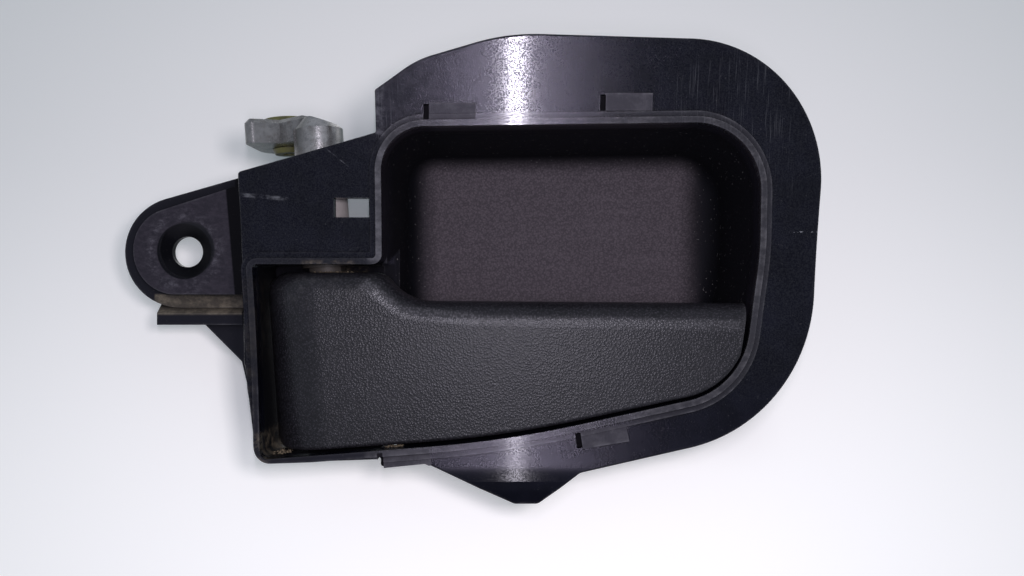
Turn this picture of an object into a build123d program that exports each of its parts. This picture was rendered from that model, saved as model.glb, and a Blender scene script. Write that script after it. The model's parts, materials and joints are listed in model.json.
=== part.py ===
from build123d import *
import math
import os

# A car's interior door handle: a moulded housing with a finger scoop, a pull lever on a leaning
# shaft, and a die cast crank that works the latch cable.
# Millimetres. X runs along the handle, Y goes into the door and Z is up. The origin is the centre of
# the fixing ear's screw hole, at the foot of its countersink.

os.makedirs("parts", exist_ok=True)

# Running and assembly clearances
running_clearance = 0.05
drive_clearance = 0.06
stem_clearance = 0.6
spring_clearance = 0.4
lever_gap = 0.6
tip_gap = 1.5
heel_gap = 0.6
stop_gap = 0.3
clip_play = 0.1

# Front shell, a panel rolled about a line along X
curve_radius = 180.0
curve_middle_z = -5.0
shell_front_y = -17.1
shell_wall = 2.2
shell_edge = 0.35

# Pivot line of the lever, leaning to the left at its top
pivot_x = 32.5
pivot_y = -8.0
pivot_lean = 4.0

# Opening of the front shell: the finger scoop and, at its left, the lever's place
scoop_left = 45.8
scoop_width = 76.1
scoop_top = 24.0
scoop_top_rise = 1.0
scoop_left_radius = 8.8
scoop_right_radius = 13.5
scoop_heel_radius = 16.0
scoop_side_fall = 3.9
scoop_side_bend_z = -1.0
scoop_side_radius = 60.0
grip_bay_bottom = -28.1
opening_bottom = -41.8
opening_bend_drop = 10.1
opening_bend_run = 25.0
opening_bend_reach = 15.2
lever_bay_top = -3.2
bay_corner_radius = 1.6
bay_head_radius = 1.0
neck_corner_radius = 2.0
rim_width = 2.4
rim_height = 1.6
rim_step_width = 1.2
rim_step_height = 0.8
rim_root = 1.1
lip_root = 0.9

# Flange and cover plate around the opening
plate_left = 17.9
plate_lean = 1.2
plate_corner_z = 15.4
plate_corner_radius = 0.8
plate_slope = 15.6
plate_foot_rise = 19.1
frame_inset = 1.6
frame_foot_rise = 11.5
frame_corner_x = 21.6
frame_corner_radius = 3.4
frame_bend_radius = 3.0
frame_margin = 0.8
frame_step = 1.8
flange_left = 44.7
flange_left_top = 31.4
shoulder_run = 8.5
shoulder_drop = 4.9
shoulder_radius = 20.0
crown_run = 26.4
crown_radius = 45.0
flange_top_margin = 18.0
flange_top_fall = 1.8
flange_right_margin = 14.0
flange_right_radius = 28.0
flange_heel_margin = 14.0
flange_heel_radius = 33.0
flange_bottom_margin = 6.4
flange_bottom_slope = 12.3
flange_corner_radius = 0.5
tip_from_right = 36.4
tip_run = 8.4
tip_drop = 6.0
tip_width = 4.6
tip_radius = 1.6
tip_left_run = 9.0
tip_left_rise = 1.9
crease_z = -46.2
tip_fall = 0.5
tip_reach = 6.0
window_left = 36.0
window_width = 7.1
window_bottom = 6.3
window_height = 3.9

# Trim clip seats: a slit with a shallow pad to its right
slit_width = 1.1
slit_height = 3.1
slit_depth = 1.5
pad_length = 9.3
pad_height = 3.4
pad_rise = 0.6
pad_root = 0.7
clip_seats = [(55.5, 27.1, 0), (90.6, 28.9, 0), (85.8, -38.2, 9), (46.6, -42.0, 4)]

# Finger scoop behind the opening
basin_mouth_y = -11.1
basin_floor_y = 8.4
basin_wall = 2.0
basin_draft = 9.0
basin_floor_radius = 4.5
basin_corner_radius = 8.5
neck_cut_y = -1.6
neck_cut_rise = 3.8

# Lever bay behind the opening
bay_wall = 2.0
bay_back_y = 1.4
back_web_wall = 2.0
web_edge = 7.8
web_overlap = 1.0
web_header = 3.4
stop_boss_width = 4.0
stop_boss_height = 8.0
stop_boss_z = -33.0

# Fixing ear
screw_hole_radius = 3.4
screw_hole_length = 1.8
ear_relief_radius = 7.0
countersink_radius = 6.2
countersink_depth = 2.6
ear_radius = 12.4
ear_centre_x = -2.3
ear_top_slope = 16.0
ear_plate_y = 1.8
ear_plate_wall = 2.8
ear_seat_margin = 3.0
ear_seat_fall = 8.0
ear_return_wall = 2.0

# Locating shelf and gusset under the ear
shelf_left = -7.0
shelf_front_y = 0.4
shelf_lip_top = -13.6
shelf_root_top = -10.4
shelf_bottom = -16.2
gusset_left = 3.0
gusset_drop = 8.3
gusset_tail = 16.0
gusset_tail_run = 1.8
gusset_wall = 2.2

# Pull lever
heel_radius = 12.4
heel_skin = 2.4
heel_back = 0.5
barrel_radius = 6.6
grip_thickness = 7.2
grip_skin = 3.0
grip_wall = 2.0
grip_pocket_left = 58.0
grip_ribs = 3
rib_draft = 2.0
grip_top = -10.6
grip_top_fall = 0.5
neck_left = 46.0
neck_run = 4.6
neck_shoulder_radius = 4.6
neck_throat_radius = 10.6
lever_head_room = 1.6
lever_reach = 10.0
lever_corner_radius = 5.5
roll_radius = 4.2
foot_radius = 0.8
rib_wall = 1.8
rib_spread = 6.5
foot_rib = -38.6
spring_bay_height = 8.4
spring_bay_middle = -22.0
catch_depth = 2.2

# Crank shaft
stem_radius = 5.2
drive_radius = 4.2
drive_flat = 3.3
journal_radius = 3.0
crank_bottom = 23.9
crank_thickness = 5.3
crank_edge = 0.9
hub_shoulder = 25.6
hub_slope = 42.0
hub_fall = 3.3
crank_root_x = 0.0
crank_root_y = 1.5
crank_root_radius = 3.4
crank_toe_x = -14.2
crank_toe_y = 1.0
crank_toe_radius = 1.6
eye_x = -9.0
eye_y = 10.4
eye_radius = 6.6
upper_lug_bottom = 12.4
upper_lug_height = 5.8
lower_lug_drop = 2.0
lower_lug_radius = 4.6
lug_radius = 8.0
journal_rise = 1.5
drive_drop = 0.4
clip_height = 0.8
clip_radius = 7.2
clip_groove_radius = 4.4
clip_mouth = 7.6

# Cable bush in the crank's eye
bush_radius = 3.0
bush_head_radius = 5.6
bush_head_height = 1.0
bush_head_edge = 0.3
bush_foot_radius = 3.5
bush_foot_height = 1.1
bush_bore_radius = 1.3

# Return spring round the drive section
spring_wire_radius = 0.7
spring_turns = 4.25
spring_pitch = 1.55
spring_radius = 6.6
spring_leg = 8.6
spring_catch_leg = 2.9

scoop_right = scoop_left + scoop_width
opening_bend_x = scoop_left + opening_bend_run
opening_bend_z = grip_bay_bottom - opening_bend_drop
flange_right = scoop_right + flange_right_margin
flange_top = scoop_top + flange_top_margin
lever_front_y = pivot_y - heel_radius
lever_back_y = lever_front_y + grip_thickness
lever_top = lever_bay_top - lever_head_room
rib_pitch = (scoop_right - grip_pocket_left) / (grip_ribs + 1)
bay_side = heel_radius + heel_gap
lever_right = scoop_right - tip_gap
crank_top = crank_bottom + crank_thickness
back_web_y = pivot_y + spring_radius + spring_wire_radius + running_clearance
lower_lug_bottom = opening_bottom - lower_lug_drop
drive_bottom = opening_bottom + journal_rise
drive_top = lever_bay_top - drive_drop
catch_reach = heel_radius - heel_skin / 2 - spring_radius - spring_wire_radius - spring_clearance
lean = math.radians(pivot_lean)
shaft_plane = Plane(
    origin=(pivot_x, pivot_y, 0),
    x_dir=(math.cos(lean), 0, math.sin(lean)),
    z_dir=(-math.sin(lean), 0, math.cos(lean)),
)
far = 120.0


def front_plane(y):
    """Plane facing the viewer at depth y, with its own x along X and its own y along Z."""
    return Plane.XZ.offset(-y)


def beside_pivot(distance, z):
    """Point at height z on a line that lies the given distance to the right of the pivot line."""
    return (pivot_x - z * math.tan(lean) + distance / math.cos(lean), z)


def shell_y(z, proud=0.0):
    """Depth of the rolled panel's front face at height z."""
    reach = curve_radius - proud
    return shell_front_y - curve_radius + math.sqrt(reach**2 - (z - curve_middle_z) ** 2)


def layer_section(proud, behind):
    """Section of a layer of the rolled panel, from in front of its face to behind it."""
    with BuildSketch(Plane.YZ) as section:
        with Locations((shell_front_y - curve_radius, curve_middle_z)):
            Circle(curve_radius + behind)
            Circle(curve_radius - proud, mode=Mode.SUBTRACT)
    return section.sketch


def scoop_corners():
    """Corners and radii of the opening's top, right and bottom, from the scoop's top left corner."""
    return [
        ((scoop_left, scoop_top), scoop_left_radius),
        ((scoop_right, scoop_top + scoop_top_rise), scoop_right_radius),
        ((scoop_right, scoop_side_bend_z), scoop_side_radius),
        ((scoop_right - scoop_side_fall, grip_bay_bottom), scoop_heel_radius),
        ((opening_bend_x, opening_bend_z), opening_bend_radius),
    ]


def rounded_face(corners):
    """Face inside a closed line with a radius at each corner."""
    with BuildSketch() as sketch:
        with BuildLine():
            FilletPolyline(*[point for point, r in corners], radius=[r for point, r in corners], close=True)
        make_face()
    return sketch.sketch


bay_right = scoop_left - basin_wall
bay_bottom_left = beside_pivot(-bay_side, opening_bottom)
bay_top_left = beside_pivot(-bay_side, lever_bay_top)
bottom_slope = (opening_bend_z - opening_bottom) / (opening_bend_x - bay_bottom_left[0])
bend_slope = opening_bend_drop / (scoop_right - scoop_side_fall - opening_bend_x)
bend_turn = math.atan(bend_slope) - math.atan(bottom_slope)
opening_bend_radius = opening_bend_reach / math.tan(bend_turn / 2)


def opening_bottom_at(x):
    """Height of the opening's lower edge on its straight left stretch."""
    return opening_bottom + bottom_slope * (x - bay_bottom_left[0])


opening_face = rounded_face(
    scoop_corners()
    + [
        (bay_bottom_left, bay_corner_radius),
        (bay_top_left, bay_head_radius),
        ((scoop_left, lever_bay_top), neck_corner_radius),
    ]
)
basin_foot = (scoop_left, opening_bottom_at(scoop_left))
basin_face = rounded_face(scoop_corners() + [(basin_foot, basin_corner_radius)])
bay_face = rounded_face(
    [
        (bay_bottom_left, bay_corner_radius),
        (bay_top_left, bay_head_radius),
        ((bay_right, lever_bay_top), 0.0),
        ((bay_right, opening_bottom_at(bay_right)), 0.0),
    ]
)

# Outline of the front shell, clockwise from the cover plate's top left corner
plate_top_left = plate_left - plate_lean
plate_rise = (flange_left - plate_top_left) * math.tan(math.radians(plate_slope))
heel_x = scoop_right - scoop_side_fall + flange_heel_margin
heel_z = grip_bay_bottom - flange_bottom_margin
tip_right = scoop_right - tip_from_right
tip_right_z = heel_z - (heel_x - tip_right) * math.tan(math.radians(flange_bottom_slope))
tip_left = tip_right - tip_run - tip_width
shell_corners = [
    ((plate_top_left, plate_corner_z), plate_corner_radius),
    ((flange_left, plate_corner_z + plate_rise), flange_corner_radius),
    ((flange_left, flange_left_top), flange_corner_radius),
    ((flange_left + shoulder_run, flange_top - shoulder_drop), shoulder_radius),
    ((flange_left + crown_run, flange_top), crown_radius),
    ((flange_right, flange_top - flange_top_fall), flange_right_radius),
    ((heel_x, heel_z), flange_heel_radius),
    ((tip_right, tip_right_z), tip_radius),
    ((tip_right - tip_run, tip_right_z - tip_drop), tip_radius),
    ((tip_left, tip_right_z - tip_drop), tip_radius),
    ((scoop_left + tip_left_run, tip_right_z + tip_left_rise), flange_corner_radius),
    ((scoop_left, opening_bottom - frame_step), flange_corner_radius),
    ((scoop_left, opening_bottom), flange_corner_radius),
    ((frame_corner_x, opening_bottom - frame_margin), frame_corner_radius),
    ((plate_left + frame_inset, opening_bottom + frame_foot_rise), frame_bend_radius),
    ((plate_left, opening_bottom + plate_foot_rise), frame_bend_radius),
]
shell_face = rounded_face(shell_corners)

with BuildPart() as front_shell:
    with BuildSketch(front_plane(0)):
        add(shell_face)
    extrude(amount=far)
    extrude(layer_section(0, shell_wall), amount=2 * far, both=True, mode=Mode.INTERSECT)
    fillet(front_shell.faces().sort_by(Axis.Y)[0].edges(), radius=shell_edge)

with BuildPart() as rim:
    with BuildSketch(front_plane(0)):
        add(opening_face)
        offset(amount=rim_width)
        add(shell_face, mode=Mode.INTERSECT)
    extrude(amount=far)
    extrude(layer_section(rim_step_height, rim_root), amount=2 * far, both=True, mode=Mode.INTERSECT)

with BuildSketch() as lip_outline:
    add(opening_face)
    offset(amount=rim_width - rim_step_width)
    add(shell_face, mode=Mode.INTERSECT)

with BuildPart() as rim_lip:
    with BuildSketch(front_plane(0)):
        add(lip_outline.sketch)
    extrude(amount=far)
    extrude(layer_section(rim_height, lip_root), amount=2 * far, both=True, mode=Mode.INTERSECT)

with BuildPart() as clip_pads:
    with BuildSketch(front_plane(0)):
        for x, z, tilt in clip_seats:
            with Locations(Location((x, z), tilt)):
                Rectangle(pad_length, pad_height, align=(Align.MIN, Align.CENTER))
        add(shell_face, mode=Mode.INTERSECT)
    extrude(amount=far)
    extrude(layer_section(pad_rise, pad_root), amount=2 * far, both=True, mode=Mode.INTERSECT)

with BuildPart() as clip_slits:
    with BuildSketch(front_plane(0)):
        for x, z, tilt in clip_seats:
            with Locations(Location((x, z), tilt)):
                Rectangle(slit_width, slit_height, align=(Align.MAX, Align.CENTER))
        add(lip_outline.sketch, mode=Mode.SUBTRACT)
    extrude(amount=far)
    extrude(layer_section(rim_height, slit_depth), amount=2 * far, both=True, mode=Mode.INTERSECT)

# Finger scoop: straight past the lever, then drafted down to its floor
with BuildPart() as scoop_space:
    with BuildSketch(front_plane(basin_mouth_y)):
        add(basin_face)
    extrude(amount=-(basin_floor_y - basin_mouth_y), taper=basin_draft)
    fillet(scoop_space.faces().sort_by(Axis.Y)[-1].edges(), radius=basin_floor_radius)
    with BuildSketch(front_plane(basin_mouth_y)):
        add(basin_face)
    extrude(amount=far)

with BuildPart() as scoop_shell:
    with BuildSketch(front_plane(basin_mouth_y)):
        add(basin_face)
        offset(amount=basin_wall)
    extrude(amount=-(basin_floor_y + basin_wall - basin_mouth_y), taper=basin_draft)
    fillet(scoop_shell.faces().sort_by(Axis.Y)[-1].edges(), radius=basin_floor_radius + basin_wall)
    with BuildSketch(front_plane(basin_mouth_y)):
        add(basin_face)
        offset(amount=basin_wall)
    extrude(amount=far)
    extrude(layer_section(0, far), amount=2 * far, both=True, mode=Mode.INTERSECT)

# Ear outline: a round end with a straight top that climbs to the cover plate
ear_normal = (-math.sin(math.radians(ear_top_slope)), math.cos(math.radians(ear_top_slope)))
ear_shoulder = (ear_centre_x + ear_radius * ear_normal[0], ear_radius * ear_normal[1])
ear_end_x = plate_left + ear_return_wall
ear_end_top = ear_shoulder[1] + (ear_end_x - ear_shoulder[0]) * math.tan(math.radians(ear_top_slope))
ear_back_y = ear_plate_y + ear_plate_wall
with BuildSketch() as ear_outline:
    with Locations((ear_centre_x, 0)):
        Circle(ear_radius)
    with BuildLine():
        Polyline(
            ear_shoulder,
            (ear_end_x, ear_end_top),
            (ear_end_x, -ear_radius),
            (ear_centre_x, -ear_radius),
            (ear_centre_x, 0),
            close=True,
        )
    make_face()

# Raised seat of the ear, falling away to the left and to the bottom
seat_fall = math.tan(math.radians(ear_seat_fall))
seat_plane = Plane(origin=(0, -countersink_depth, 0), z_dir=(-seat_fall, -1, -0.5 * seat_fall))
with BuildPart() as ear_seat:
    with BuildSketch(front_plane(ear_back_y)):
        add(ear_outline.sketch)
        offset(amount=-ear_seat_margin)
    extrude(amount=far)
    split(bisect_by=seat_plane, keep=Keep.BOTTOM)

# Lever bay and shaft bearings, kept inside the front outline
with BuildPart() as bay_walls:
    with BuildSketch(front_plane(bay_back_y)):
        add(bay_face)
        offset(amount=bay_wall, kind=Kind.INTERSECTION)
    extrude(amount=far)
    with BuildSketch(shaft_plane.offset(upper_lug_bottom)):
        Circle(lug_radius)
        with Locations((ear_end_x - pivot_x, 0)):
            Rectangle(flange_left - ear_end_x, far, align=(Align.MIN, Align.MAX))
    extrude(amount=upper_lug_height)
    with BuildSketch(front_plane(far)):
        add(shell_face)
    extrude(amount=2 * far, mode=Mode.INTERSECT)
    with BuildSketch(shaft_plane.offset(lower_lug_bottom)):
        Circle(lower_lug_radius)
    extrude(amount=lower_lug_drop + bay_wall)
    extrude(layer_section(-0.5 * shell_wall, far), amount=2 * far, both=True, mode=Mode.INTERSECT)

# Return of the cover plate, ear, shelf and gusset
with BuildPart() as ear_walls:
    with BuildSketch(front_plane(ear_back_y)):
        with BuildLine():
            Polyline(
                (plate_left, plate_corner_z - plate_corner_radius),
                (ear_end_x, plate_corner_z - plate_corner_radius),
                (ear_end_x, opening_bottom + frame_foot_rise),
                (plate_left, opening_bottom + plate_foot_rise),
                close=True,
            )
        make_face()
    extrude(amount=far)
    extrude(layer_section(-0.5 * shell_wall, far), amount=2 * far, both=True, mode=Mode.INTERSECT)
    with BuildSketch(front_plane(ear_back_y)):
        add(ear_outline.sketch)
    extrude(amount=ear_plate_wall)
    add(ear_seat.part)
    with BuildSketch(Plane.YZ.offset(shelf_left)):
        with BuildLine():
            Polyline(
                (shelf_front_y, shelf_bottom),
                (shelf_front_y, shelf_lip_top),
                (ear_back_y, shelf_root_top),
                (ear_back_y, shelf_bottom),
                close=True,
            )
        make_face()
    extrude(amount=ear_end_x - shelf_left)
    with BuildSketch(front_plane(ear_back_y)):
        with BuildLine():
            Polyline(
                (gusset_left, shelf_bottom),
                (gusset_left + gusset_drop, shelf_bottom - gusset_drop),
                (gusset_left + gusset_drop + gusset_tail_run, shelf_bottom - gusset_tail),
                (ear_end_x, shelf_bottom - gusset_tail),
                (ear_end_x, shelf_bottom),
                close=True,
            )
        make_face()
    extrude(amount=gusset_wall)

with BuildPart() as housing:
    add(front_shell.part)
    add(rim.part)
    add(rim_lip.part)
    add(clip_pads.part)
    add(scoop_shell.part)
    add(bay_walls.part)
    add(ear_walls.part)
    # spaces for fingers and lever
    add(scoop_space.part, mode=Mode.SUBTRACT)
    with BuildSketch(front_plane(basin_mouth_y)):
        add(opening_face)
    extrude(amount=far, mode=Mode.SUBTRACT)
    with BuildSketch(front_plane(bay_back_y)):
        add(bay_face)
    extrude(amount=far, both=True, mode=Mode.SUBTRACT)
    with BuildSketch(Plane.YZ.offset(bay_right - 0.5)):
        with BuildLine():
            Polyline(
                (basin_mouth_y - 1, lever_bay_top),
                (neck_cut_y, lever_bay_top + neck_cut_rise),
                (neck_cut_y, opening_bottom_at(scoop_left)),
                (basin_mouth_y - 1, opening_bottom_at(scoop_left)),
                close=True,
            )
        make_face()
    extrude(amount=3 * basin_wall, mode=Mode.SUBTRACT)
    # web behind the lever's neck, with the stop that the lever rests on
    with BuildSketch(front_plane(back_web_y + back_web_wall)):
        with BuildLine():
            Polyline(
                beside_pivot(-bay_side - web_overlap, lever_bay_top + web_overlap),
                (scoop_left + web_overlap, lever_bay_top + web_overlap),
                (scoop_left + web_overlap, opening_bottom_at(scoop_left)),
                beside_pivot(web_edge, opening_bottom_at(pivot_x + web_edge)),
                beside_pivot(web_edge, lever_bay_top - web_header),
                beside_pivot(-bay_side - web_overlap, lever_bay_top - web_header),
                close=True,
            )
        make_face()
    extrude(amount=back_web_wall)
    with BuildSketch(front_plane(back_web_y + back_web_wall)):
        with Locations(beside_pivot(web_edge, stop_boss_z)):
            Rectangle(stop_boss_width, stop_boss_height, align=(Align.MIN, Align.CENTER))
    extrude(amount=back_web_y + back_web_wall - lever_back_y - stop_gap)
    # bearings
    with BuildSketch(shaft_plane.offset(lever_bay_top - bay_wall)):
        Circle(stem_radius + stem_clearance)
    extrude(amount=4 * bay_wall, mode=Mode.SUBTRACT)
    with BuildSketch(shaft_plane.offset(upper_lug_bottom - 1)):
        Circle(stem_radius + running_clearance)
    extrude(amount=upper_lug_height + 2, mode=Mode.SUBTRACT)
    with BuildSketch(shaft_plane.offset(lower_lug_bottom - 1)):
        Circle(journal_radius + running_clearance)
    extrude(amount=lower_lug_drop + 2 * bay_wall, mode=Mode.SUBTRACT)
    # countersunk screw hole, relieved from behind
    with BuildSketch(Plane.XY):
        with BuildLine():
            Polyline(
                (0, -2 * countersink_depth),
                (2 * countersink_radius - screw_hole_radius, -2 * countersink_depth),
                (screw_hole_radius, 0),
                (screw_hole_radius, screw_hole_length),
                (ear_relief_radius, screw_hole_length),
                (ear_relief_radius, 2 * ear_back_y),
                (0, 2 * ear_back_y),
                close=True,
            )
        make_face()
    revolve(axis=Axis.Y, mode=Mode.SUBTRACT)
    # window in the cover plate and slits beside the clip pads
    with BuildSketch(front_plane(shell_front_y + 1.5 * shell_wall)):
        with Locations((window_left, window_bottom)):
            Rectangle(window_width, window_height, align=(Align.MIN, Align.MIN))
    extrude(amount=far, mode=Mode.SUBTRACT)
    add(clip_slits.part, mode=Mode.SUBTRACT)
    # tip bent back along a crease
    crease_y = shell_y(crease_z)
    with BuildSketch(Plane.YZ):
        with BuildLine():
            Polyline(
                (crease_y, crease_z),
                (crease_y + tip_fall, crease_z - tip_reach),
                (crease_y - far, crease_z - tip_reach),
                (crease_y - far, crease_z),
                close=True,
            )
        make_face()
    extrude(amount=2 * far, both=True, mode=Mode.SUBTRACT)
housing.part.label = "housing"
export_step(housing.part, "parts/housing.step")

# Pull lever: its plan along the shaft, trimmed to its outline from the front
lever_high = lever_bay_top + lever_reach
lever_low = opening_bottom - lever_reach
lever_height = lever_high - lever_low
side_slope = scoop_side_fall / (scoop_side_bend_z - grip_bay_bottom)
lever_left = -heel_radius - heel_gap / 2 - lever_gap
lever_foot_x = beside_pivot(lever_left, opening_bottom)[0]
lever_face = rounded_face(
    scoop_corners()
    + [
        ((lever_foot_x, opening_bottom_at(lever_foot_x)), lever_corner_radius),
        (beside_pivot(lever_left, lever_bay_top), 0.0),
        ((scoop_left, lever_bay_top), neck_corner_radius),
    ]
)
with BuildSketch() as lever_front:
    add(lever_face)
    offset(amount=-lever_gap)
    with BuildLine():
        FilletPolyline(
            (plate_left, lever_top),
            (neck_left, lever_top),
            (neck_left + neck_run, grip_top),
            (lever_right - side_slope * (scoop_side_bend_z - grip_top), grip_top - grip_top_fall),
            (lever_right - side_slope * (scoop_side_bend_z - lever_low), lever_low),
            (plate_left, lever_low),
            radius=[0, neck_shoulder_radius, neck_throat_radius, 0, 0, 0],
            close=True,
        )
    make_face(mode=Mode.INTERSECT)

with BuildSketch() as heel_limit:
    with Locations((0, heel_back)):
        Rectangle(2 * heel_radius, 4 * heel_radius, align=(Align.MAX, Align.MAX))

with BuildPart() as pull_lever:
    with BuildSketch(shaft_plane.offset(lever_low)):
        Circle(heel_radius)
        Circle(heel_radius - heel_skin, mode=Mode.SUBTRACT)
        add(heel_limit.sketch, mode=Mode.INTERSECT)
        with Locations((0, -heel_radius)):
            Rectangle(far, grip_thickness, align=(Align.MIN, Align.MIN))
    extrude(amount=lever_height)
    with BuildSketch(shaft_plane.offset(lever_low)):
        Circle(barrel_radius)
    extrude(amount=lever_height)
    with BuildSketch(shaft_plane.offset(lever_top - rib_wall)):
        Circle(heel_radius)
        add(heel_limit.sketch, mode=Mode.INTERSECT)
    extrude(amount=2 * rib_wall)
    for rib_s in (spring_bay_middle + rib_spread, spring_bay_middle - rib_spread - rib_wall, foot_rib):
        with BuildSketch(shaft_plane.offset(rib_s)):
            Circle(heel_radius)
            add(heel_limit.sketch, mode=Mode.INTERSECT)
        extrude(amount=rib_wall)
    with BuildSketch(front_plane(far)):
        add(lever_front.sketch)
    extrude(amount=2 * far, mode=Mode.INTERSECT)
    # rolled top edge from the heel over the neck to the grip's end
    front_edges = pull_lever.edges().filter_by_position(Axis.Y, lever_front_y - 0.1, lever_front_y + 0.1)
    top_edges = front_edges.filter_by_position(Axis.Z, grip_top - grip_top_fall - 0.1, lever_top + 0.1)
    fillet(top_edges, radius=roll_radius)
    foot_edges = pull_lever.edges().filter_by_position(Axis.Y, lever_front_y - 0.1, lever_front_y + 0.1)
    fillet(foot_edges.group_by(Axis.Z)[0], radius=foot_radius)
    # hollow back of the grip, with cross ribs
    with BuildSketch(front_plane(lever_back_y)):
        add(lever_front.sketch)
        offset(amount=-grip_wall)
        with Locations((grip_pocket_left, grip_top)):
            Rectangle(far, far, align=(Align.MIN, Align.CENTER), mode=Mode.INTERSECT)
        for i in range(grip_ribs):
            with Locations((grip_pocket_left + (i + 1) * rib_pitch, grip_top)):
                Rectangle(grip_wall, far, mode=Mode.SUBTRACT)
    extrude(amount=grip_thickness - grip_skin, taper=rib_draft, mode=Mode.SUBTRACT)
    # spring bay, with the catch that the spring pushes on, and the drive hole
    with BuildSketch(shaft_plane.offset(spring_bay_middle - spring_bay_height / 2)):
        Circle(spring_radius + spring_wire_radius + spring_clearance)
    extrude(amount=spring_bay_height, mode=Mode.SUBTRACT)
    with BuildSketch(shaft_plane.offset(spring_bay_middle - spring_bay_height / 2)):
        with Locations((heel_skin / 2 - heel_radius, -spring_wire_radius - running_clearance)):
            Rectangle(catch_reach, catch_depth, align=(Align.MIN, Align.MAX))
    extrude(amount=spring_bay_height)
    with BuildSketch(shaft_plane.offset(lever_low)):
        Circle(drive_radius + drive_clearance)
        Rectangle(2 * (drive_flat + drive_clearance), 3 * drive_radius, mode=Mode.INTERSECT)
    extrude(amount=lever_height, mode=Mode.SUBTRACT)
pull_lever.part.label = "pull_lever"
export_step(pull_lever.part, "parts/pull_lever.step")

# Crank shaft, one casting: arm with the cable eye, stem, drive section and lower journal
with BuildPart() as crank_shaft:
    for arm_x, arm_y, arm_radius in (
        (crank_toe_x, crank_toe_y, crank_toe_radius),
        (crank_root_x, crank_root_y, crank_root_radius),
    ):
        with BuildSketch(shaft_plane.offset(crank_bottom)):
            with Locations((eye_x, eye_y)):
                Circle(eye_radius)
            with Locations((arm_x, arm_y)):
                Circle(arm_radius)
            make_hull()
        extrude(amount=crank_thickness)
    chamfer(crank_shaft.faces().sort_by(Axis.Z)[-1].edges(), length=crank_edge)
    with BuildSketch(shaft_plane.offset(drive_top)):
        Circle(stem_radius)
    extrude(amount=hub_shoulder - drive_top)
    with BuildSketch(shaft_plane.offset(hub_shoulder)):
        Circle(stem_radius)
    extrude(amount=crank_top - crank_edge - hub_shoulder, taper=hub_slope)
    # top that falls from the eye to the far side of the hub
    with BuildSketch(Plane(origin=shaft_plane.origin, x_dir=shaft_plane.x_dir, z_dir=(0, -1, 0))):
        with BuildLine():
            Polyline(
                (eye_x + bush_head_radius, crank_top),
                (stem_radius, crank_top - hub_fall),
                (stem_radius, crank_top),
                close=True,
            )
        make_face()
    extrude(amount=far, both=True, mode=Mode.SUBTRACT)
    with BuildSketch(shaft_plane.offset(drive_bottom)):
        Circle(drive_radius)
        Rectangle(2 * drive_flat, 3 * drive_radius, mode=Mode.INTERSECT)
    extrude(amount=drive_top - drive_bottom)
    with BuildSketch(shaft_plane.offset(lower_lug_bottom)):
        Circle(journal_radius)
    extrude(amount=drive_bottom - lower_lug_bottom)
    with BuildSketch(shaft_plane.offset(upper_lug_bottom - clip_height - 2 * clip_play)):
        Circle(stem_radius + 1)
        Circle(clip_groove_radius, mode=Mode.SUBTRACT)
    extrude(amount=clip_height + 2 * clip_play, mode=Mode.SUBTRACT)
    with BuildSketch(shaft_plane.offset(crank_bottom - 1)):
        with Locations((eye_x, eye_y)):
            Circle(bush_radius + running_clearance)
    extrude(amount=crank_thickness + 2, mode=Mode.SUBTRACT)
crank_shaft.part.label = "crank_shaft"
export_step(crank_shaft.part, "parts/crank_shaft.step")

# Cable bush: head, stem and snap foot, with a hole for the cable's end
eye_centre = shaft_plane.from_local_coords(Vector(eye_x, eye_y, 0))
with BuildPart() as cable_bush:
    with BuildSketch(Plane(origin=eye_centre, x_dir=(0, 1, 0), z_dir=shaft_plane.x_dir)):
        with BuildLine():
            Polyline(
                (bush_bore_radius, crank_bottom - clip_play - bush_foot_height),
                (bush_radius, crank_bottom - clip_play - bush_foot_height),
                (bush_foot_radius, crank_bottom - clip_play),
                (bush_radius, crank_bottom - clip_play),
                (bush_radius, crank_top + clip_play),
                (bush_head_radius, crank_top + clip_play),
                (bush_head_radius - bush_head_edge, crank_top + clip_play + bush_head_height),
                (bush_bore_radius, crank_top + clip_play + bush_head_height),
                close=True,
            )
        make_face()
    revolve(axis=Axis(eye_centre, shaft_plane.z_dir))
cable_bush.part.label = "cable_bush"
export_step(cable_bush.part, "parts/cable_bush.step")

# Push-on ring in the stem's groove, under the upper bearing
with BuildPart() as shaft_clip:
    with BuildSketch(shaft_plane.offset(upper_lug_bottom - clip_play - clip_height)):
        Circle(clip_radius)
        Circle(clip_groove_radius + running_clearance, mode=Mode.SUBTRACT)
        Rectangle(clip_mouth, 2 * clip_radius, align=(Align.CENTER, Align.MAX), mode=Mode.SUBTRACT)
    extrude(amount=clip_height)
shaft_clip.part.label = "shaft_clip"
export_step(shaft_clip.part, "parts/shaft_clip.step")

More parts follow.
